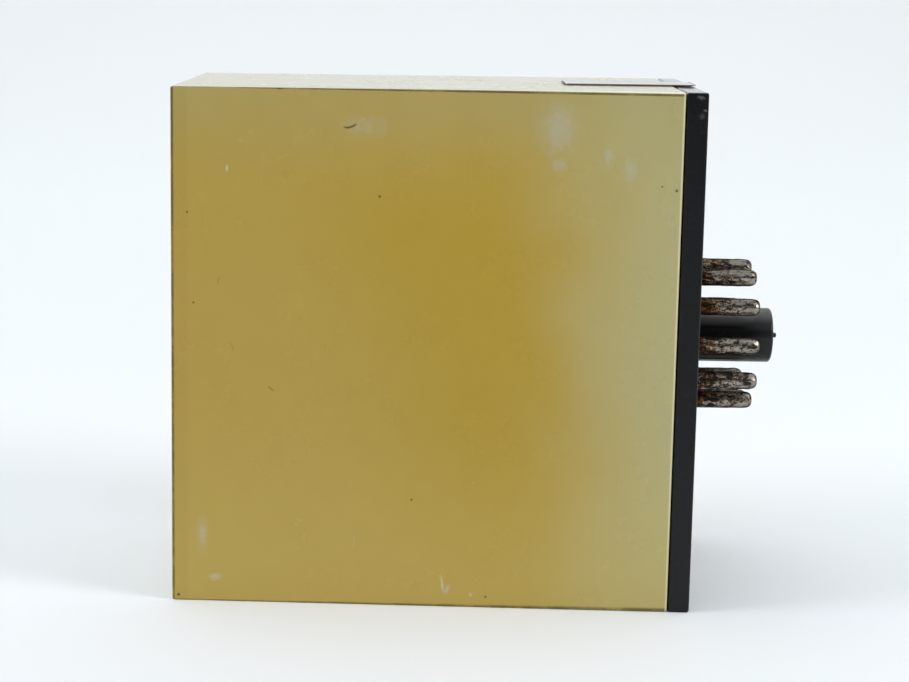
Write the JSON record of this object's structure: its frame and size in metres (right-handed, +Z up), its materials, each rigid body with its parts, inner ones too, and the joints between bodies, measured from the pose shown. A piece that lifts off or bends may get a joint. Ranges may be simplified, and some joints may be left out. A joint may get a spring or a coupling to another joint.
{
  "type": "plug-in solid state relay",
  "caption": "Plug-in solid state relay: flat-sided cream box cover on a black base plate with a round keyed pin plug, complete with its board and heat sink inside.",
  "frame": {"origin": "centre of the bottom of the bounding box, under the middle of the narrow side that the module stands on", "axes": "+Z up, +Y along the plug's axis and out of the pins, +X across the width; the front face looks along -Y and the plug's key points along -X"},
  "size_m": [0.04, 0.0834, 0.0703],
  "materials": {
    "cover_cream": "satin moulded plastic, yellowed unevenly with age, light scuffs",
    "base_black": "satin black moulded plastic",
    "pin_tinned_brass": "tinned, tarnished brown towards the roots, bright solder at the tips",
    "screw_zinc_steel": "zinc plated",
    "label_paper": "coated paper with a thin dark border, blank",
    "lens_red": "clear red moulding",
    "led_red": "red epoxy",
    "board_laminate": "green solder mask on glass laminate",
    "sink_aluminium": "mill finish sheet",
    "case_black_epoxy": "moulded black epoxy with tinned metal leads",
    "pad_silicone": "grey silicone sheet",
    "resistor_coat": "matt lacquer with plain colour rings",
    "film_capacitor_box": "moulded box",
    "varistor_coat": "dipped lacquer",
    "capacitor_sleeve": "shrunk sleeve over an aluminium can",
    "wire_red": "satin insulation",
    "wire_black": "satin insulation"
  },
  "bodies": {
    "root": {"cover": "cover_cream", "base_plate": "base_black", "pin_1": "pin_tinned_brass", "pin_2": "pin_tinned_brass", "pin_3": "pin_tinned_brass", "pin_4": "pin_tinned_brass", "pin_5": "pin_tinned_brass", "pin_6": "pin_tinned_brass", "pin_7": "pin_tinned_brass", "pin_8": "pin_tinned_brass", "pin_9": "pin_tinned_brass", "pin_10": "pin_tinned_brass", "pin_11": "pin_tinned_brass", "base_screw_1": "screw_zinc_steel", "base_screw_2": "screw_zinc_steel", "heat_sink_screw_1": "screw_zinc_steel", "heat_sink_screw_2": "screw_zinc_steel", "triac_screw_1": "screw_zinc_steel", "triac_screw_2": "screw_zinc_steel", "triac_nut_1": "screw_zinc_steel", "triac_nut_2": "screw_zinc_steel", "seal_label": "label_paper", "front_label": "label_paper", "indicator_lens": "lens_red", "indicator_led": "led_red", "circuit_board": "board_laminate", "heat_sink": "sink_aluminium", "triac_1": "case_black_epoxy", "triac_2": "case_black_epoxy", "optocoupler_1": "case_black_epoxy", "optocoupler_2": "case_black_epoxy", "bridge_rectifier": "case_black_epoxy", "regulator_transistor": "case_black_epoxy", "insulating_pad_1": "pad_silicone", "insulating_pad_2": "pad_silicone", "gate_resistor_1": "resistor_coat", "gate_resistor_2": "resistor_coat", "snubber_resistor_1": "resistor_coat", "snubber_resistor_2": "resistor_coat", "input_resistor": "resistor_coat", "snubber_capacitor_1": "film_capacitor_box", "snubber_capacitor_2": "film_capacitor_box", "varistor_1": "varistor_coat", "varistor_2": "varistor_coat", "smoothing_capacitor": "capacitor_sleeve", "wire_to_pin_1": "wire_red", "wire_to_pin_3": "wire_red", "wire_to_pin_9": "wire_red", "wire_to_pin_11": "wire_red", "wire_to_pin_2": "wire_black", "wire_to_pin_10": "wire_black"}
  },
  "joints": []
}
